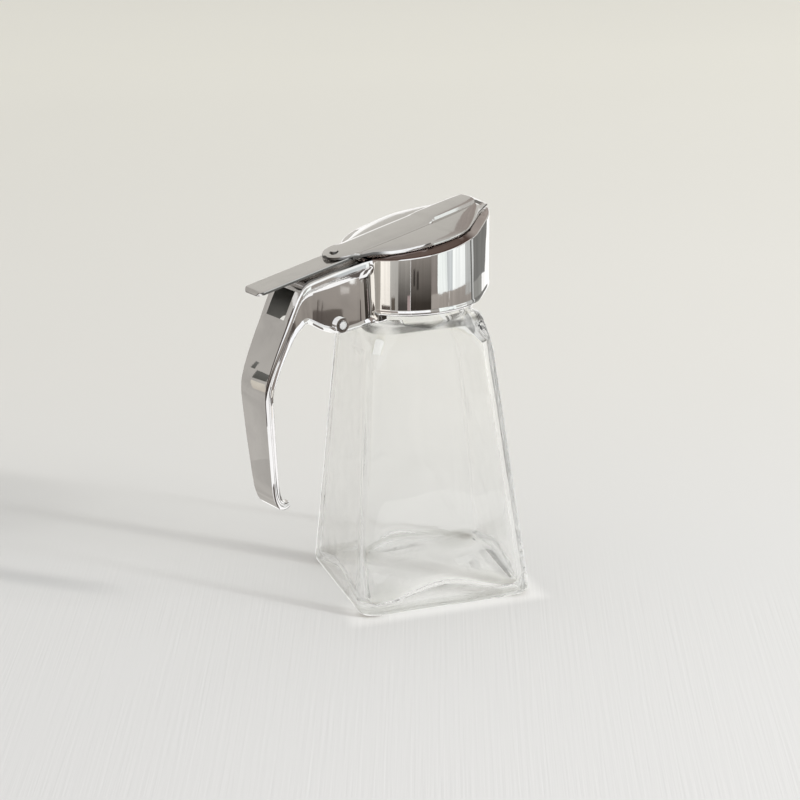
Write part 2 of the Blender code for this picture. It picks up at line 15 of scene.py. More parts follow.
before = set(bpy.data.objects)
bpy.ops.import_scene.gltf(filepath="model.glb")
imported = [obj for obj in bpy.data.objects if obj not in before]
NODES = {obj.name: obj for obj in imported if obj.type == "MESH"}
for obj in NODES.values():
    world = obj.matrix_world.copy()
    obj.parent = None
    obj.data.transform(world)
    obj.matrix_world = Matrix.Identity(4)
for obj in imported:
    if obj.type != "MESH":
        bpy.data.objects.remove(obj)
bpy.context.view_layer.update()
scene = bpy.context.scene
print("pieces:", sorted(NODES))


# %% [markdown]
# ## The camera
#
# A long lens some 90 cm away keeps the jar's sides nearly parallel. Blender offers two ways to aim a
# camera: a constraint that looks at a target, or a matrix. The matrix is used here, as it also holds
# the small roll: its columns are the camera's right, its up, and the direction behind it.

# %% Camera
CAMERA_PLACE = Vector((-0.464113, -0.678923, 0.334407))
CAMERA_AXES = (
    (0.823108, 0.200078, -0.531472),
    (-0.567085, 0.239931, -0.787939),
    (-0.030132, 0.949948, 0.310950),
)
LENS_MM = 113.38
SENSOR_MM = 36.0
CLIP_NEAR, CLIP_FAR = 0.01, 50.0

camera = bpy.data.objects.new("camera", bpy.data.cameras.new("camera"))
camera.data.lens = LENS_MM
camera.data.sensor_width = SENSOR_MM
camera.data.clip_start = CLIP_NEAR
camera.data.clip_end = CLIP_FAR
camera.matrix_world = Matrix.Translation(CAMERA_PLACE) @ Matrix(CAMERA_AXES).to_4x4()
scene.collection.objects.link(camera)
scene.camera = camera
print("camera", tuple(round(v, 3) for v in camera.location))


# %% [markdown]
# ## Small tools for nodes
#
# Each material is a short recipe of nodes. A few helpers keep the recipes readable: one adds a node
# with its values set, others start a material, a node group or a colour ramp, and two build the
# masks that say where on a piece a finish changes.

# %% Node helpers
def add_node(tree, kind, values=None, **settings):
    """Add a node, set its options, then its input values by socket name or number."""
    node = tree.nodes.new(kind)
    for key, value in settings.items():
        setattr(node, key, value)
    for key, value in (values or {}).items():
        if isinstance(value, bpy.types.NodeSocket):
            tree.links.new(value, node.inputs[key])
        else:
            node.inputs[key].default_value = value
    return node


def new_material(name, **sockets):
    """A material with its Principled shader: the keyword names are socket names with _ for spaces."""
    made = bpy.data.materials.new(name)
    made.use_nodes = True
    shader = made.node_tree.nodes["Principled BSDF"]
    for key, value in sockets.items():
        shader.inputs[key.replace("_", " ")].default_value = value
    return made, made.node_tree, shader


def new_group(name, inputs, outputs):
    """An empty node group with named sockets, and its input and output nodes."""
    group = bpy.data.node_groups.new(name, "ShaderNodeTree")
    for label, kind, value in inputs:
        socket = group.interface.new_socket(label, in_out="INPUT", socket_type=kind)
        socket.default_value = value
    for label, kind in outputs:
        group.interface.new_socket(label, in_out="OUTPUT", socket_type=kind)
    return group, group.nodes.new("NodeGroupInput"), group.nodes.new("NodeGroupOutput")


def ramp_of(tree, value, stops):
    """A colour ramp over a range of a value: each stop is the value, then the colour there."""
    start, end = stops[0][0], stops[-1][0]
    share = add_node(tree, "ShaderNodeMapRange", {"Value": value, "From Min": start, "From Max": end})
    ramp = add_node(tree, "ShaderNodeValToRGB", {"Fac": share.outputs[0]})
    elements = ramp.color_ramp.elements
    elements[0].color = (*stops[0][1], 1.0)
    elements[1].color = (*stops[-1][1], 1.0)
    for place, tone in stops[1:-1]:
        elements.new((place - start) / (end - start)).color = (*tone, 1.0)
    return ramp.outputs["Color"]


def object_position(tree):
    """The point's place on the piece, in metres: it moves with the piece."""
    return add_node(tree, "ShaderNodeTexCoord").outputs["Object"]


def smooth_mask(tree, value, start, end):
    """0 at start, 1 at end, with an eased rise."""
    return add_node(tree, "ShaderNodeMapRange", {"Value": value, "From Min": start, "From Max": end},
                    interpolation_type="SMOOTHSTEP").outputs[0]


def product(tree, *values):
    """Multiply masks."""
    total = values[0]
    for value in values[1:]:
        total = add_node(tree, "ShaderNodeMath", {0: total, 1: value}, operation="MULTIPLY").outputs[0]
    return total


HELPERS = (add_node, new_material, new_group, ramp_of, object_position, smooth_mask, product)
print("helpers:", [helper.__name__ for helper in HELPERS])


# %% [markdown]
# ## Effects that several finishes share
#
# Plated metal that is used every day carries the same traces: faint finger smears that soften the
# gloss in patches, and hair scratches from the cloth. Both could be painted by hand. Noise is used
# instead, as it has no seams: wide soft noise for the smears, and noise stretched along one direction
# for the scratches. A node group with named sockets lets each finish take its own amount of both.

# %% Group: smears and hair scratches
FLOAT, VECTOR = "NodeSocketFloat", "NodeSocketVector"
SMEAR_FROM, SMEAR_FULL = 0.48, 0.72     # where the soft noise begins to dull the gloss, and where fully
HAIR_FROM, HAIR_FULL = 0.62, 0.70       # the same for the hair scratches
HAIR_TURN = (0.3, 0.5, 0.4)
HAIR_STRETCH = (60.0, 900.0, 900.0)

handling, given, put = new_group(
    "handling_marks",
    [("Position", VECTOR, (0, 0, 0)), ("Smear Scale", FLOAT, 90.0), ("Smear", FLOAT, 0.05),
     ("Scratch", FLOAT, 0.03), ("Base Roughness", FLOAT, 0.05)],
    [("Roughness", FLOAT), ("Mask", FLOAT)])
smear = add_node(handling, "ShaderNodeTexNoise",
                 {"Vector": given.outputs["Position"], "Scale": given.outputs["Smear Scale"],
                  "Detail": 5.0, "Roughness": 0.6, "Distortion": 0.6})
patch = add_node(handling, "ShaderNodeMapRange",
                 {"Value": smear.outputs["Fac"], "From Min": SMEAR_FROM, "From Max": SMEAR_FULL})
stretched = add_node(handling, "ShaderNodeMapping",
                     {"Vector": given.outputs["Position"], "Rotation": HAIR_TURN, "Scale": HAIR_STRETCH})
hair = add_node(handling, "ShaderNodeTexNoise",
                {"Vector": stretched.outputs["Vector"], "Scale": 1.6, "Detail": 3.0, "Roughness": 0.7})
lines = add_node(handling, "ShaderNodeMapRange",
                 {"Value": hair.outputs["Fac"], "From Min": HAIR_FROM, "From Max": HAIR_FULL})
smeared = add_node(handling, "ShaderNodeMath", {0: patch.outputs[0], 1: given.outputs["Smear"],
                                                2: given.outputs["Base Roughness"]}, operation="MULTIPLY_ADD")
scratched = add_node(handling, "ShaderNodeMath", {0: lines.outputs[0], 1: given.outputs["Scratch"],
                                                  2: smeared.outputs[0]}, operation="MULTIPLY_ADD")
handling.links.new(scratched.outputs[0], put.inputs["Roughness"])
handling.links.new(patch.outputs[0], put.inputs["Mask"])
print("group:", handling.name)


# %% [markdown]
# ## Surfaces that are never dead flat
#
# A cast and plated wall, a pressed sheet and a moulded glass side all bend reflections a little. Real
# ripples in the mesh would need a great many faces, and they are far too shallow to show in the
# outline. So they go into the bump of each finish: one wide noise and a trace of a fine one.

# %% Group: waviness of a plated or pressed surface
waviness, given, put = new_group(
    "surface_waviness",
    [("Position", VECTOR, (0, 0, 0)), ("Wave Scale", FLOAT, 60.0), ("Fine Scale", FLOAT, 900.0),
     ("Fine", FLOAT, 0.03)],
    [("Height", FLOAT)])
wide = add_node(waviness, "ShaderNodeTexNoise",
                {"Vector": given.outputs["Position"], "Scale": given.outputs["Wave Scale"], "Detail": 1.5})
fine = add_node(waviness, "ShaderNodeTexNoise",
                {"Vector": given.outputs["Position"], "Scale": given.outputs["Fine Scale"], "Detail": 3.0})
summed = add_node(waviness, "ShaderNodeMath",
                  {0: fine.outputs["Fac"], 1: given.outputs["Fine"], 2: wide.outputs["Fac"]},
                  operation="MULTIPLY_ADD")
waviness.links.new(summed.outputs[0], put.inputs["Height"])
print("group:", waviness.name)


# %% [markdown]
# ## Chrome plate
#
# The cap is a zinc casting, polished and plated: nearly a mirror, but the casting under it is never
# dead flat, so reflections bend a little. The lid and the strip are pressed sheet with a thinner,
# slightly greyer plate, and the pin is bare steel. One recipe serves all the metal, with its values
# given per finish.

# %% Plated metal
DULL_SHARE = 0.93       # how bright the metal stays where it is smeared


def plated_metal(name, colour, roughness, smear, scratch, wave_scale, wave_depth):
    """A metallic finish with smears, scratches, and reflections that bend over the uneven surface."""
    made, tree, shader = new_material(name, Metallic=1.0, Base_Color=(*colour, 1.0))
    place = object_position(tree)
    marks = add_node(tree, "ShaderNodeGroup", node_tree=handling)
    tree.links.new(place, marks.inputs["Position"])
    marks.inputs["Base Roughness"].default_value = roughness
    marks.inputs["Smear"].default_value = smear
    marks.inputs["Scratch"].default_value = scratch
    tree.links.new(marks.outputs["Roughness"], shader.inputs["Roughness"])
    uneven = add_node(tree, "ShaderNodeGroup", node_tree=waviness)
    tree.links.new(place, uneven.inputs["Position"])
    uneven.inputs["Wave Scale"].default_value = wave_scale
    bump = add_node(tree, "ShaderNodeBump", {"Height": uneven.outputs["Height"], "Strength": 1.0,
                                             "Distance": wave_depth})
    tree.links.new(bump.outputs["Normal"], shader.inputs["Normal"])
    dull = tuple(DULL_SHARE * c for c in colour)
    tone = add_node(tree, "ShaderNodeMix", {"Factor": marks.outputs["Mask"], "A": (*colour, 1.0),
                                            "B": (*dull, 1.0)}, data_type="RGBA")
    tree.links.new(tone.outputs["Result"], shader.inputs["Base Color"])
    return made


bright_chrome = plated_metal("bright_chrome", (0.80, 0.79, 0.785), 0.025, 0.02, 0.008, 90.0, 0.00002)
stamped_chrome = plated_metal("stamped_chrome", (0.74, 0.73, 0.72), 0.09, 0.05, 0.04, 70.0, 0.00004)
pin_steel = plated_metal("pin_steel", (0.90, 0.90, 0.90), 0.50, 0.05, 0.05, 200.0, 0.00003)
print("metals:", bright_chrome.name, stamped_chrome.name, pin_steel.name)


# %% [markdown]
# ## Painted shade, and dull cut edges
#
# Two places carry painted shade in their colour. On the ledge under the lid's near edge, a dark brown
# band is painted shade and dark reflection under the lid. The hollow inside the handle is rough, as it
# is plated but never polished, and dark grey with painted shade. The cut edges of the pressed sheet
# are dull. Each is a mask made from the place on the piece and the way the surface faces, so it stays
# where it belongs when the lid slides.

# %% Painted shade on the ledge and in the hollow; dull cut edges
# Painted shade and dark reflection: the ledge along the lid's near edge turns dark brown.
LEDGE_PAINTED_SHADE = (0.15, 0.10, 0.085)
LEDGE_FROM, LEDGE_TO = -0.0225, 0.008       # along X, from the handle to where the wall comes up to the lid
LEDGE_LOW = 0.117
LEDGE_GLOSS = 0.12
UPWARD_FROM, UPWARD_FULL = 0.35, 0.6        # how far a face must look up to count as the ledge
SOFT = 0.0005               # width over which one finish turns into the next
# Painted shade in the handle's hollow: dark grey, on a rough unpolished plate.
HOLLOW_PAINTED_SHADE = (0.20, 0.195, 0.18)
CAST_ROUGHNESS = 0.45
HANDLE_FROM = -0.0262
HOLLOW_HALF = 0.0062        # half the width of the hollow along the handle's back
HOLLOW_SOFT = 0.0003
EDGE_GREY = (0.16, 0.155, 0.15)
EDGE_ROUGHNESS = 0.3
EDGES_FROM, EDGES_FULL = -0.016, -0.020     # along X, the edges are dull from here towards the thumb


def blend_finish(finish, mask, colour, roughness):
    """Change a finish's colour and roughness where the mask is 1."""
    tree = finish.node_tree
    shader = tree.nodes["Principled BSDF"]
    for label, kind, target in (("Base Color", "RGBA", (*colour, 1.0)), ("Roughness", "FLOAT", roughness)):
        before = shader.inputs[label].links[0].from_socket
        mixed = add_node(tree, "ShaderNodeMix", {"Factor": mask}, data_type=kind)
        slots = [i for i in mixed.inputs if i.enabled and i.name in ("A", "B")]
        tree.links.new(before, slots[0])
        slots[1].default_value = target
        result = next(o for o in mixed.outputs if o.enabled)
        tree.links.new(result, shader.inputs[label])


def place_and_facing(finish):
    """The point's place and its normal, both on the piece's own axes, as separate numbers."""
    tree = finish.node_tree
    place = add_node(tree, "ShaderNodeSeparateXYZ", {"Vector": object_position(tree)}).outputs
    normal = add_node(tree, "ShaderNodeTexCoord").outputs["Normal"]
    return tree, place, add_node(tree, "ShaderNodeSeparateXYZ", {"Vector": normal}).outputs


tree, place, facing = place_and_facing(bright_chrome)
# Painted shade: the ledge's upward faces, on the near side only, from the handle to the beak's wall.
ledge = product(tree, smooth_mask(tree, facing["Z"], UPWARD_FROM, UPWARD_FULL),
                smooth_mask(tree, place["X"], LEDGE_FROM - SOFT, LEDGE_FROM),
                smooth_mask(tree, place["X"], LEDGE_TO + 0.006, LEDGE_TO),
                smooth_mask(tree, place["Z"], LEDGE_LOW, LEDGE_LOW + 0.001),
                smooth_mask(tree, place["Y"], 0.001, 0.0))
blend_finish(bright_chrome, ledge, LEDGE_PAINTED_SHADE, LEDGE_GLOSS)

# A face of the hollow points at the symmetry plane, or down from under the strap: these turn rough,
# and dark grey as painted shade.
side = add_node(tree, "ShaderNodeMath", {0: place["Y"]}, operation="SIGN").outputs[0]
toward_middle = product(tree, side, facing["Y"])
inward = smooth_mask(tree, toward_middle, -0.3, -0.6)
reach = add_node(tree, "ShaderNodeMath", {0: place["Y"]}, operation="ABSOLUTE").outputs[0]
front = add_node(tree, "ShaderNodeMath", {0: facing["X"], 1: 0.9}, operation="MULTIPLY").outputs[0]
down = add_node(tree, "ShaderNodeMath", {0: front, 1: facing["Z"]}, operation="SUBTRACT").outputs[0]
under = smooth_mask(tree, down, 0.2, 0.5)
hollow = add_node(tree, "ShaderNodeMath", {0: inward, 1: under}, operation="MAXIMUM").outputs[0]
inside = product(tree, hollow, smooth_mask(tree, reach, HOLLOW_HALF + HOLLOW_SOFT, HOLLOW_HALF),
                 smooth_mask(tree, place["X"], HANDLE_FROM + SOFT, HANDLE_FROM))
blend_finish(bright_chrome, inside, HOLLOW_PAINTED_SHADE, CAST_ROUGHNESS)

tree, place, facing = place_and_facing(stamped_chrome)
upright = add_node(tree, "ShaderNodeMath", {0: facing["Z"]}, operation="ABSOLUTE").outputs[0]
cut_edge = smooth_mask(tree, upright, 0.45, 0.2)
behind = smooth_mask(tree, place["X"], EDGES_FROM, EDGES_FULL)
blend_finish(stamped_chrome, product(tree, cut_edge, behind), EDGE_GREY, EDGE_ROUGHNESS)
print("ledge, hollow and cut edges dulled")


# %% [markdown]
# ## Glass
#
# Soda-lime glass is clear. A Principled shader with full transmission bends light by its index of
# refraction. Where the glass is thick, in the foot and in the ring under the cap, it turns the light
# aside and looks grey, and a grey tint by height paints that in: painted shade in the foot, and a
# painted dark reflection of the cap's rim in the ring. Glass would also get a dark shadow, as the
# bright rays through it aren't followed, so shadow rays and the cloth's own light pass a thin veil
# instead, which is darker at the jar's corners.

# %% Where things are on the jar
JAR_HALF = 0.0307           # half the jar's width at the foot
JAR_TAPER = 0.085           # how much narrower that gets per metre of height
JAR_TURN = math.radians(-16.75)


def jar_axes(tree, place):
    """How far a point is from the jar's two upright middle planes, square to its sides."""
    turned = add_node(tree, "ShaderNodeMapping", {"Vector": place, "Rotation": (0, 0, -JAR_TURN)})
    parts = add_node(tree, "ShaderNodeSeparateXYZ", {"Vector": turned.outputs[0]})
    return [add_node(tree, "ShaderNodeMath", {0: parts.outputs[axis]}, operation="ABSOLUTE").outputs[0]
            for axis in ("X", "Y")]


def height_band(tree, height, low, high, soft_low, soft_high):
    """1 between two heights, and 0 below and above them."""
    return product(tree, smooth_mask(tree, height, low, low + soft_low),
                   smooth_mask(tree, height, high, high - soft_high))


print("the jar's foot is", round(2000 * JAR_HALF, 1), "mm wide")

# %% Clear glass
GLASS_INDEX = 1.5
GLASS_COLOUR = (0.998, 1.0, 0.996, 1.0)
RING_LOW, RING_HIGH = 0.0957, 0.0984
# Painted dark reflection of the cap's rim in the glass ring.
RING_PAINTED_REFLECTION = (0.13, 0.13, 0.125, 1.0)
FOOT_LOW, FOOT_HIGH = 0.0006, 0.0046
# Painted shade in the thick glass of the foot.
FOOT_PAINTED_SHADE = (0.74, 0.75, 0.72, 1.0)

clear_glass, tree, shader = new_material("clear_glass", Roughness=0.0, IOR=GLASS_INDEX,
                                         Transmission_Weight=1.0, Base_Color=GLASS_COLOUR)
place = object_position(tree)
uneven = add_node(tree, "ShaderNodeGroup", node_tree=waviness)
tree.links.new(place, uneven.inputs["Position"])
uneven.inputs["Wave Scale"].default_value = 45.0
uneven.inputs["Fine"].default_value = 0.01
bump = add_node(tree, "ShaderNodeBump", {"Height": uneven.outputs["Height"], "Distance": 0.0003})
tree.links.new(bump.outputs["Normal"], shader.inputs["Normal"])
# Painted shade: a grey band at the foot. Painted dark reflection: a streaky grey crescent at the ring.
height = add_node(tree, "ShaderNodeSeparateXYZ", {"Vector": place}).outputs["Z"]
foot = height_band(tree, height, FOOT_LOW, FOOT_HIGH, 0.0004, 0.0012)
foot_shade_tone = add_node(tree, "ShaderNodeMix", {"Factor": foot, "A": GLASS_COLOUR, "B": FOOT_PAINTED_SHADE},
                     data_type="RGBA")
ring = height_band(tree, height, RING_LOW, RING_HIGH, 0.0005, 0.0008)
streaks = add_node(tree, "ShaderNodeTexNoise", {"Vector": place, "Scale": 110.0, "Detail": 1.0})
ring_reflection_mask = product(tree, ring, smooth_mask(tree, streaks.outputs["Fac"], 0.25, 0.5))
ring_reflection_tone = add_node(tree, "ShaderNodeMix", {"Factor": ring_reflection_mask, "A": foot_shade_tone.outputs["Result"],
                                             "B": RING_PAINTED_REFLECTION}, data_type="RGBA")
tree.links.new(ring_reflection_tone.outputs["Result"], shader.inputs["Base Color"])
print("glass index", GLASS_INDEX)

# %% What the glass lets through to the cloth
VEIL_CLEAR = (0.975, 0.975, 0.972, 1.0)
VEIL_DARK = (0.62, 0.60, 0.57, 1.0)     # the jar's corners throw the light aside, so they shade more
CORNER_FROM, CORNER_FULL = 0.70, 0.84   # as a share of the jar's half width at that height

across, along = jar_axes(tree, place)
lesser = add_node(tree, "ShaderNodeMath", {0: across, 1: along}, operation="MINIMUM")
half = add_node(tree, "ShaderNodeMath", {0: height, 1: -JAR_TAPER, 2: JAR_HALF}, operation="MULTIPLY_ADD")
share = add_node(tree, "ShaderNodeMath", {0: lesser.outputs[0], 1: half.outputs[0]}, operation="DIVIDE")
corner = smooth_mask(tree, share.outputs[0], CORNER_FROM, CORNER_FULL)
veil_tone = add_node(tree, "ShaderNodeMix", {"Factor": corner, "A": VEIL_CLEAR, "B": VEIL_DARK},
                     data_type="RGBA")
veil = add_node(tree, "ShaderNodeBsdfTransparent", {"Color": veil_tone.outputs["Result"]})
path = add_node(tree, "ShaderNodeLightPath")
unbent = add_node(tree, "ShaderNodeMath", {0: path.outputs["Is Shadow Ray"],
                                           1: path.outputs["Is Diffuse Ray"]}, operation="MAXIMUM")
either = add_node(tree, "ShaderNodeMixShader")
tree.links.new(unbent.outputs[0], either.inputs[0])
tree.links.new(shader.outputs[0], either.inputs[1])
tree.links.new(veil.outputs[0], either.inputs[2])
tree.links.new(either.outputs[0], tree.nodes["Material Output"].inputs["Surface"])
print("veil from", VEIL_CLEAR[:3], "to", VEIL_DARK[:3])


# %% [markdown]
# ## Edges
#
# Every real edge is a little round, and on chrome that roundness is what the eye reads: each edge
# carries its own thin bright or dark line. The solid model has dead sharp edges and separate
# triangles. They could be mended by hand in edit mode, but modifiers leave the solid as it is: a
# small node tree welds the triangles and marks the creases, a bevel rounds the creases by a fifth of
# a millimetre, and weighted normals keep the broad flat faces flat in reflections.

# %% Weld, and mark the creases
CREASE_DEGREES = 33.0
WELD_GAP = 0.000004
WEB_FACING = 0.9998         # faces that look straight to the side are the flat web and the pin's end


def crease_tree(degrees):
    """Geometry nodes that weld the triangles and mark edges sharper than an angle."""
    tree = bpy.data.node_groups.new("weld_and_crease", "GeometryNodeTree")
    tree.interface.new_socket("Geometry", in_out="INPUT", socket_type="NodeSocketGeometry")
    tree.interface.new_socket("Geometry", in_out="OUTPUT", socket_type="NodeSocketGeometry")
    source = tree.nodes.new("NodeGroupInput").outputs[0]
    welded = add_node(tree, "GeometryNodeMergeByDistance", {"Geometry": source, "Distance": WELD_GAP})
    cleared = add_node(tree, "GeometryNodeRemoveAttribute",
                       {"Geometry": welded.outputs[0], "Name": "custom_normal"})
    smooth = add_node(tree, "GeometryNodeSetShadeSmooth",
                      {"Geometry": cleared.outputs[0], "Shade Smooth": True})
    normal = tree.nodes.new("GeometryNodeInputNormal").outputs["Normal"]
    sideways = add_node(tree, "ShaderNodeSeparateXYZ", {"Vector": normal}).outputs["Y"]
    square_on = add_node(tree, "ShaderNodeMath", {0: sideways}, operation="ABSOLUTE")
    web = add_node(tree, "ShaderNodeMath", {0: square_on.outputs[0], 1: WEB_FACING}, operation="GREATER_THAN")
    smooth = add_node(tree, "GeometryNodeSetShadeSmooth",
                      {"Geometry": smooth.outputs[0], "Selection": web.outputs[0], "Shade Smooth": False},
                      domain="FACE")
    bend = add_node(tree, "GeometryNodeInputMeshEdgeAngle").outputs["Unsigned Angle"]
    sharp = add_node(tree, "ShaderNodeMath", {0: bend, 1: math.radians(degrees)}, operation="GREATER_THAN")
    creased = add_node(tree, "GeometryNodeSetShadeSmooth",
                       {"Geometry": smooth.outputs[0], "Selection": sharp.outputs[0], "Shade Smooth": False},
                       domain="EDGE")
    tree.links.new(creased.outputs[0], tree.nodes.new("NodeGroupOutput").inputs[0])
    return tree


creases = crease_tree(CREASE_DEGREES)
print("creases are edges sharper than", CREASE_DEGREES, "degrees")

# %% Round the metal's edges
EDGE_ROUND = {"cap": 0.00018, "lid": 0.0002, "thumb_strip": 0.00018, "pin": 0.0002, "jar": 0.0}
BEVEL_STEPS = 2

for name, width in EDGE_ROUND.items():
    piece = NODES[name]
    piece.modifiers.new("weld_and_crease", "NODES").node_group = creases
    if width:
        bevel = piece.modifiers.new("rounded_edges", "BEVEL")
        bevel.width = width
        bevel.segments = BEVEL_STEPS
        bevel.limit_method = "ANGLE"
        bevel.angle_limit = math.radians(CREASE_DEGREES)
        bevel.harden_normals = True
    piece.modifiers.new("flat_faces_flat", "WEIGHTED_NORMAL").keep_sharp = True
print("edges rounded on", [name for name, width in EDGE_ROUND.items() if width])


# %% [markdown]
# ## Who wears what
#
# The casting is bright, the two pressed pieces share the softer plate, and the pin is steel. Each
# piece has one finish, so its material goes on the mesh as the only slot.

# %% Give each piece its finish
FINISHES = {"jar": clear_glass, "cap": bright_chrome, "lid": stamped_chrome, "thumb_strip": stamped_chrome,
            "pin": pin_steel}
for name, finish in FINISHES.items():
    mesh = NODES[name].data
    mesh.materials.clear()
    mesh.materials.append(finish)
print("finished", len(FINISHES), "pieces")


# %% [markdown]
# ## The table and the room
#
# The dispenser stands on a pale ribbed cloth. One large flat sheet is enough for it: the ribs are
# bump, as they are only a hair deep. Its tone is painted light: it changes slowly with the distance
# from the viewer, darker in front and lighter and warmer further back.
# The glass also gathers light into a thin bright band on the cloth along the jar's foot. Following
# such rays takes very long, so the band is part of the cloth's colour.

# %% The bright band along the foot
GLEAM_WIDTH = 0.007
GLEAM_STRENGTH = 0.22
GLEAM_CORNER = 0.006        # how widely the band turns the jar's corners
GLEAM_DEPTH = -0.015        # along Y, the band is full from here towards the window


def foot_gleam(tree, place):
    """A thin band along the jar's foot where the glass throws the light that it gathers."""
    across, along = jar_axes(tree, place)
    reach = add_node(tree, "ShaderNodeMath", {0: across, 1: along, 2: GLEAM_CORNER}, operation="SMOOTH_MAX")
    depth = add_node(tree, "ShaderNodeSeparateXYZ", {"Vector": place}).outputs["Y"]
    near = smooth_mask(tree, depth, 0.0, GLEAM_DEPTH)
    return product(tree, smooth_mask(tree, reach.outputs[0], JAR_HALF + GLEAM_WIDTH, JAR_HALF), near)


print("bright band", 1000 * GLEAM_WIDTH, "mm wide")

# %% Floor
FLOOR_HALF = 6.0
AWAY = math.radians(54.6)       # the ribs run this way, away from the viewer
RIB_PITCH = 0.0011
RIB_LENGTH = 0.06
RIBS_CLEAR, RIBS_GONE = -0.04, 0.06     # the ribs are plain in front and lost further back
# The cloth's colour with painted light: darker in front, lighter and warmer further back.
CLOTH_TONE_AND_PAINTED_LIGHT = [(-0.20, (0.735, 0.737, 0.74)), (0.0, (0.735, 0.738, 0.734)), (0.25, (0.785, 0.778, 0.748)),
               (1.00, (0.885, 0.872, 0.80))]
BLOTCH_LOW, BLOTCH_HIGH = 0.985, 1.015


def build_floor():
    """One flat sheet with the cloth's ribs, slow painted light, faint blotches and the band along the foot.
    """
    mesh = bpy.data.meshes.new("table_cloth")
    corners = [(-1, -1), (1, -1), (1, 1), (-1, 1)]
    mesh.from_pydata([(x * FLOOR_HALF, y * FLOOR_HALF, 0.0) for x, y in corners], [], [(0, 1, 2, 3)])
    floor = bpy.data.objects.new("table_cloth", mesh)
    scene.collection.objects.link(floor)
    made, tree, shader = new_material("pale_cloth", Roughness=0.75)
    shader.inputs["Specular IOR Level"].default_value = 0.2
    place = object_position(tree)
    turned = add_node(tree, "ShaderNodeMapping", {"Vector": place, "Rotation": (0, 0, -AWAY)})
    away = add_node(tree, "ShaderNodeSeparateXYZ", {"Vector": turned.outputs[0]}).outputs["X"]
    stretched = add_node(tree, "ShaderNodeMapping", {"Vector": turned.outputs[0],
                                                     "Scale": (1 / RIB_LENGTH, 1 / RIB_PITCH, 1.0)})
    ribs = add_node(tree, "ShaderNodeTexNoise", {"Vector": stretched.outputs[0], "Scale": 1.0, "Detail": 1.5,
                                                 "Roughness": 0.45, "Distortion": 0.1})
    plain = add_node(tree, "ShaderNodeMapRange",
                     {"Value": away, "From Min": RIBS_GONE, "From Max": RIBS_CLEAR}).outputs[0]
    height = product(tree, ribs.outputs["Fac"], plain)
    bump = add_node(tree, "ShaderNodeBump", {"Height": height, "Strength": 0.3, "Distance": 0.0003})
    tree.links.new(bump.outputs["Normal"], shader.inputs["Normal"])
    blotch = add_node(tree, "ShaderNodeTexNoise", {"Vector": place, "Scale": 3.0, "Detail": 2.0})
    worn = add_node(tree, "ShaderNodeMapRange",
                    {"Value": blotch.outputs["Fac"], "To Min": BLOTCH_LOW, "To Max": BLOTCH_HIGH})
    gleam = add_node(tree, "ShaderNodeMath", {0: foot_gleam(tree, place), 1: GLEAM_STRENGTH,
                                              2: worn.outputs[0]}, operation="MULTIPLY_ADD")
    # Painted light: the cloth is darker in front and lighter and warmer further back.
    tone = add_node(tree, "ShaderNodeVectorMath", {0: ramp_of(tree, away, CLOTH_TONE_AND_PAINTED_LIGHT)}, operation="SCALE")
    tree.links.new(gleam.outputs[0], tone.inputs["Scale"])
    tree.links.new(tone.outputs[0], shader.inputs["Base Color"])
    mesh.materials.append(made)
    return floor


floor = build_floor()
floor.visible_glossy = False
print("floor laid")


# %% [markdown]
# ## What the chrome sees
#
# Chrome has hardly a look of its own: it shows what stands round it. A picture of a room wrapped
# round the scene would do, but then no part of it could be set on its own. Here a drum of upright
# cards takes the room's place: window panes with their sill, a cream curtain, dark furniture, and a
# person's shade. Only reflections see them: they cast no shadow and the camera looks through them.

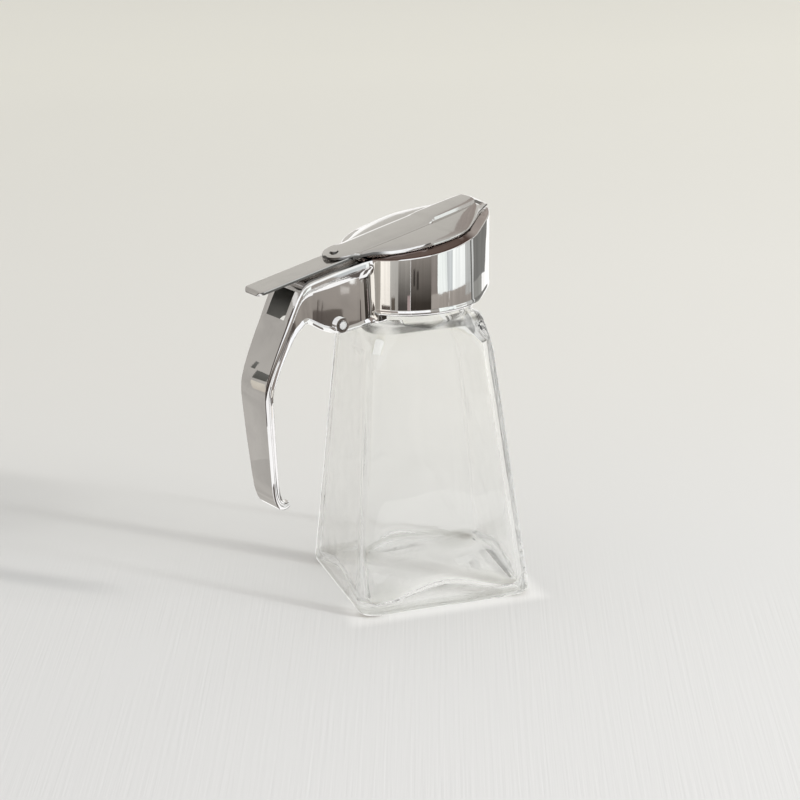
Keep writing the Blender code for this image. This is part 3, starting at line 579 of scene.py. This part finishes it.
# %% The cards' places and tones
# Each card: azimuth from and to in degrees (0 is the beak, -90 the near side), distance, foot and top,
# then its colour at the foot and at the top.
NEAR = 0.26
FAR = 1.5
SILL = 0.258        # small things on the window sill stand just in front of it
PANE_FOOT = 0.0435
CARDS = {
    "window_pane_left": (-82.0, -66.0, NEAR, PANE_FOOT, 0.085, (1.05, 1.10, 1.08), (1.08, 1.16, 1.12)),
    "window_mullion": (-66.0, -56.0, NEAR, PANE_FOOT, 0.085, (0.70, 0.74, 0.75), (0.76, 0.80, 0.80)),
    "window_pane_right": (-56.0, -28.0, NEAR, PANE_FOOT, 0.085, (1.10, 1.14, 1.12), (1.14, 1.19, 1.17)),
    "window_reveal": (-28.0, -13.0, NEAR, 0.038, 0.085, (0.58, 0.60, 0.59), (0.62, 0.63, 0.61)),
    "window_head_left": (-82.0, -52.0, NEAR, 0.085, 0.175, (1.10, 1.15, 1.13), (1.10, 1.15, 1.13)),
    "window_head_right": (-52.0, -13.0, NEAR, 0.085, 0.175, (0.62, 0.60, 0.57), (0.62, 0.60, 0.57)),
    "window_top": (-96.0, -13.0, NEAR, 0.175, 0.30, (1.16, 1.19, 1.18), (1.16, 1.19, 1.18)),
    "window_sill": (-93.0, -13.0, NEAR, 0.022, PANE_FOOT, (0.33, 0.30, 0.27), (0.42, 0.385, 0.35)),
    "under_sill": (-93.0, -13.0, NEAR, 0.0, 0.022, (0.16, 0.14, 0.13), (0.18, 0.155, 0.14)),
    "sill_dark_deep": (-70.0, -66.4, SILL, 0.012, 0.0335, (0.10, 0.085, 0.075), (0.13, 0.11, 0.10)),
    "sill_dark": (-66.4, -64.4, SILL, 0.012, 0.0285, (0.10, 0.085, 0.075), (0.15, 0.13, 0.115)),
    "sill_spark": (-63.5, -62.9, SILL, 0.0400, 0.0445, (1.15, 1.15, 1.12), (1.2, 1.2, 1.17)),
    "sill_smear": (-64.5, -63.6, SILL, 0.0355, 0.0385, (0.62, 0.58, 0.54), (0.70, 0.67, 0.63)),
    "warm_wall": (-5.0, 47.0, NEAR, 0.19, 0.90, (0.38, 0.33, 0.30), (0.50, 0.47, 0.44)),
    "frame_shadow": (-13.0, -9.0, NEAR, -0.05, 0.16, (0.17, 0.17, 0.16), (0.17, 0.17, 0.16)),
    "frame_edge": (-9.0, -5.0, NEAR, 0.02, 0.16, (0.70, 0.71, 0.70), (0.80, 0.81, 0.80)),
    "dark_beak": (-5.0, 29.0, NEAR, 0.041, 0.10, (0.22, 0.22, 0.21), (0.21, 0.20, 0.185)),
    "dark_beak_low": (-5.0, 26.0, NEAR, -0.01, 0.041, (0.40, 0.41, 0.37), (0.34, 0.34, 0.32)),
    "grey_beside_window": (-93.0, -82.0, NEAR, PANE_FOOT, 0.13, (0.26, 0.23, 0.21), (0.52, 0.51, 0.48)),
    "grey_beside_top": (-96.0, -93.0, NEAR, 0.075, 0.175, (0.46, 0.44, 0.40), (0.52, 0.51, 0.48)),
    "dark_front_low": (-125.5, -93.0, NEAR, 0.0, 0.040, (0.03, 0.025, 0.02), (0.05, 0.042, 0.035)),
    "dark_front": (-125.5, -93.0, NEAR, 0.040, 0.075, (0.05, 0.042, 0.035), (0.42, 0.385, 0.35)),
    "mid_grey_low": (-145.0, -126.0, NEAR, 0.0, 0.040, (0.02, 0.02, 0.015), (0.08, 0.072, 0.065)),
    "mid_grey": (-145.0, -126.0, NEAR, 0.040, 0.075, (0.08, 0.072, 0.065), (0.64, 0.61, 0.56)),
    "light_grey": (-158.0, -145.0, NEAR, 0.0, 0.075, (0.20, 0.17, 0.15), (0.70, 0.69, 0.65)),
    "chair_rail_left": (-121.5, -118.5, SILL, 0.049, 0.057, (0.05, 0.045, 0.04), (0.07, 0.06, 0.055)),
    "chair_rail_right": (-116.5, -113.0, SILL, 0.047, 0.056, (0.05, 0.045, 0.04), (0.07, 0.06, 0.055)),
    "folded_napkin": (-130.5, -126.0, SILL, 0.034, 0.0445, (0.50, 0.40, 0.385), (0.42, 0.33, 0.32)),
    "curtain_hem": (-172.0, -158.0, SILL, 0.0, 0.0395, (0.06, 0.05, 0.04), (0.12, 0.10, 0.085)),
    "curtain_tie": (-156.0, -150.0, SILL, 0.030, 0.0440, (0.10, 0.085, 0.07), (0.14, 0.12, 0.10)),
    "near_lamp": (-146.0, -96.0, NEAR, 0.092, 0.70, (1.22, 1.24, 1.27), (1.22, 1.24, 1.27)),
    "table_shade": (-150.0, -75.0, NEAR, -0.40, -0.085, (0.22, 0.20, 0.185), (0.16, 0.14, 0.13)),
    "brown_above": (172.0, 214.0, NEAR, 0.095, 0.40, (0.36, 0.31, 0.28), (0.28, 0.24, 0.22)),
    "cream_curtain": (186.0, 202.0, NEAR, -0.02, 0.095, (1.02, 0.96, 0.86), (1.2, 1.16, 1.08)),
    "beige_side": (172.0, 186.0, NEAR, -0.02, 0.095, (0.34, 0.31, 0.27), (0.50, 0.47, 0.42)),
    "dark_side": (141.0, 172.0, NEAR, -0.02, 0.24, (0.08, 0.06, 0.055), (0.12, 0.10, 0.09)),
    "knee_spot": (134.5, 135.2, NEAR, 0.114, 0.126, (0.12, 0.12, 0.11), (0.18, 0.18, 0.17)),
    "knee_dark": (135.8, 138.5, NEAR, 0.094, 0.114, (0.10, 0.10, 0.09), (0.14, 0.14, 0.13)),
    "knee_beige": (135.8, 138.5, NEAR, 0.048, 0.086, (0.62, 0.57, 0.50), (0.68, 0.64, 0.56)),
    "grey_low": (90.0, 141.0, NEAR, -0.40, -0.040, (0.52, 0.50, 0.47), (0.52, 0.50, 0.47)),
    "grey_room": (84.0, 141.0, FAR, -0.62, 1.2, (0.52, 0.50, 0.47), (0.47, 0.45, 0.42)),
    "bright_behind": (28.0, 84.0, FAR, -3.0, 0.40, (1.25, 1.24, 1.22), (1.15, 1.14, 1.12)),
    "dark_person": (-150.0, -85.0, FAR, 0.62, 5.0, (0.10, 0.09, 0.085), (0.12, 0.11, 0.10)),
}
print("cards:", len(CARDS))

# %% The cards' finish
PALE = (0.84, 0.84, 0.81)   # what the glass shows of the cards from inside
FOLD_DEPTH = 0.10
FOLDS_FROM, FOLDS_FULL = 0.3, 0.7       # the part of the noise that the folds use
FOLD_WIDTH, FOLD_DROP = 0.064, 0.27     # the size of a fold as a share of the card's distance


def card_finish(name, distance, foot, top, low, high):
    """Plain light that goes from one colour at the foot to another at the top, in soft upright folds."""
    made, tree, shader = new_material(name, Roughness=1.0, Base_Color=(0, 0, 0, 1), Specular_IOR_Level=0.0)
    place = object_position(tree)
    height = add_node(tree, "ShaderNodeSeparateXYZ", {"Vector": place}).outputs["Z"]
    share = add_node(tree, "ShaderNodeMapRange", {"Value": height, "From Min": foot, "From Max": top})
    tone = add_node(tree, "ShaderNodeMix", {"Factor": share.outputs[0], "A": (*low, 1.0), "B": (*high, 1.0)},
                    data_type="RGBA")
    width, drop = FOLD_WIDTH * distance, FOLD_DROP * distance
    tall = add_node(tree, "ShaderNodeMapping", {"Vector": place, "Scale": (1 / width, 1 / width, 1 / drop)})
    folds = add_node(tree, "ShaderNodeTexNoise", {"Vector": tall.outputs[0], "Scale": 1.0, "Detail": 2.0})
    shade = add_node(tree, "ShaderNodeMapRange",
                     {"Value": folds.outputs["Fac"], "From Min": FOLDS_FROM, "From Max": FOLDS_FULL,
                      "To Min": 1.0 - FOLD_DEPTH, "To Max": 1.0 + FOLD_DEPTH})
    through = add_node(tree, "ShaderNodeLightPath").outputs["Transmission Depth"]
    inside = add_node(tree, "ShaderNodeMath", {0: through, 1: 0.5}, operation="GREATER_THAN")
    seen = add_node(tree, "ShaderNodeMix", {"Factor": inside.outputs[0], "A": tone.outputs["Result"],
                                            "B": (*PALE, 1.0)}, data_type="RGBA")
    tree.links.new(seen.outputs["Result"], shader.inputs["Emission Color"])
    tree.links.new(shade.outputs[0], shader.inputs["Emission Strength"])
    return made


print("folds", round(1000 * FOLD_WIDTH * NEAR, 1), "mm wide on the near cards")

# %% Build the cards
STEP_DEGREES = 2.0


def build_card(name, start, end, distance, foot, top, low, high):
    """A strip of an upright drum round the jar, seen only in reflections."""
    bm = bmesh.new()
    steps = max(2, int((end - start) / STEP_DEGREES))
    rows = []
    for k in range(steps + 1):
        angle = math.radians(start + (end - start) * k / steps)
        x, y = distance * math.cos(angle), distance * math.sin(angle)
        rows.append((bm.verts.new((x, y, foot)), bm.verts.new((x, y, top))))
    for (a, b), (c, d) in zip(rows, rows[1:]):
        bm.faces.new((a, c, d, b))
    mesh = bpy.data.meshes.new(name)
    bm.to_mesh(mesh)
    bm.free()
    card = bpy.data.objects.new(name, mesh)
    scene.collection.objects.link(card)
    mesh.materials.append(card_finish(name, distance, foot, top, low, high))
    card.visible_camera = False
    card.visible_diffuse = False
    card.visible_shadow = False
    card.visible_transmission = False
    card.visible_volume_scatter = False
    return card


cards = [build_card(name, *values) for name, values in CARDS.items()]
print("cards built:", len(cards))


# %% [markdown]
# ## Light
#
# The window is one large soft area light, and a narrower one inside it stands for the gap between its
# curtains and gives the shadows a firmer core. Neither shows in the chrome, where the cards already
# are the window. Everything else is fill from the world.

# %% Soft light
LOOK_AT = Vector((0, 0, 0.06))


def soft_light(name, azimuth, elevation, distance, size, power, colour):
    """A rectangular area light that looks at the middle of the dispenser."""
    light = bpy.data.objects.new(name, bpy.data.lights.new(name, "AREA"))
    light.data.shape = "RECTANGLE"
    light.data.size, light.data.size_y = size
    light.data.energy = power
    light.data.color = colour
    a, e = math.radians(azimuth), math.radians(elevation)
    away = Vector((math.cos(a) * math.cos(e), math.sin(a) * math.cos(e), math.sin(e)))
    light.location = LOOK_AT + away * distance
    light.rotation_euler = away.to_track_quat("Z", "Y").to_euler()
    scene.collection.objects.link(light)
    return light


WINDOW_AZIMUTH, WINDOW_ELEVATION = -62.0, 27.0
WINDOW_AWAY = 2.0
WINDOW_WATTS = 15.5
window = soft_light("window_light", WINDOW_AZIMUTH, WINDOW_ELEVATION, WINDOW_AWAY, (0.7, 1.0),
                    WINDOW_WATTS, (1.0, 0.985, 0.96))
gap = soft_light("curtain_gap", WINDOW_AZIMUTH, WINDOW_ELEVATION, WINDOW_AWAY, (0.10, 0.4),
                 WINDOW_WATTS, (1.0, 0.98, 0.94))
for light in (window, gap):
    light.visible_glossy = False
    light.visible_transmission = False
print("lights:", window.name, gap.name)


# %% [markdown]
# ## The room's fill
#
# A world can be one flat colour, but three kinds of ray ask it for different things. Plain light on
# the cloth wants an even fill. Polished metal wants walls that change with height, where no card
# stands. A ray that has been through the glass wants the pale sweep round the jar. The Light Path
# node tells them apart.

# %% World
scene.world = bpy.data.worlds.new("room")
scene.world.use_nodes = True
room = scene.world.node_tree
background = room.nodes["Background"]
direction = add_node(room, "ShaderNodeTexCoord").outputs["Generated"]
up = add_node(room, "ShaderNodeSeparateXYZ", {"Vector": direction}).outputs["Z"]
# What polished metal sees where no card stands: the sine of the elevation, then the colour.
ROOM_BY_HEIGHT = [(-1.0, (1.18, 1.18, 1.17)), (-0.44, (1.20, 1.20, 1.20)), (-0.20, (1.02, 1.01, 1.00)),
                  (-0.05, (0.90, 0.89, 0.87)), (-0.02, (0.64, 0.62, 0.58)), (0.70, (0.615, 0.595, 0.555)),
                  (0.90, (0.57, 0.55, 0.52)), (1.0, (0.60, 0.585, 0.56))]
walls = ramp_of(room, up, ROOM_BY_HEIGHT)
ROOM_LIGHT = (0.675, 0.67, 0.66, 1.0)
# A ray that leaves the glass sees the pale sweep all round, and a darker room above.
GLASS_SEES = [(-1.0, (0.86, 0.86, 0.83)), (0.08, (0.86, 0.86, 0.83)), (0.45, (0.75, 0.75, 0.73)),
              (1.0, (0.66, 0.66, 0.645))]
seen_by = add_node(room, "ShaderNodeLightPath")
unbent = add_node(room, "ShaderNodeMath", {0: seen_by.outputs["Transmission Depth"], 1: 0.5},
                  operation="LESS_THAN")
mirrored = add_node(room, "ShaderNodeMath", {0: seen_by.outputs["Is Glossy Ray"], 1: unbent.outputs[0]},
                    operation="MULTIPLY")
which = add_node(room, "ShaderNodeMix", {"Factor": mirrored.outputs[0], "A": ROOM_LIGHT,
                                         "B": walls}, data_type="RGBA")
through = add_node(room, "ShaderNodeMath", {0: seen_by.outputs["Transmission Depth"], 1: 0.5},
                   operation="GREATER_THAN")
sharp_ray = add_node(room, "ShaderNodeMath", {0: 1.0, 1: seen_by.outputs["Is Diffuse Ray"]},
                     operation="SUBTRACT")
by_glass = add_node(room, "ShaderNodeMath", {0: through.outputs[0], 1: sharp_ray.outputs[0]},
                    operation="MULTIPLY")
final = add_node(room, "ShaderNodeMix", {"Factor": by_glass.outputs[0], "A": which.outputs["Result"],
                                         "B": ramp_of(room, up, GLASS_SEES)}, data_type="RGBA")
room.links.new(final.outputs["Result"], background.inputs["Color"])
print("world:", scene.world.name)


# %% [markdown]
# ## Colour and bounces
#
# The plain view transform keeps the pale tones as they are set. Glass with chrome behind it needs
# many bounces: with too few, the rays end in black.

# %% Colour and bounces
scene.view_settings.view_transform = "Standard"
scene.cycles.max_bounces = 40
scene.cycles.glossy_bounces = 32
scene.cycles.transmission_bounces = 32
scene.cycles.transparent_max_bounces = 24
print("view", scene.view_settings.view_transform, "bounces", scene.cycles.max_bounces)
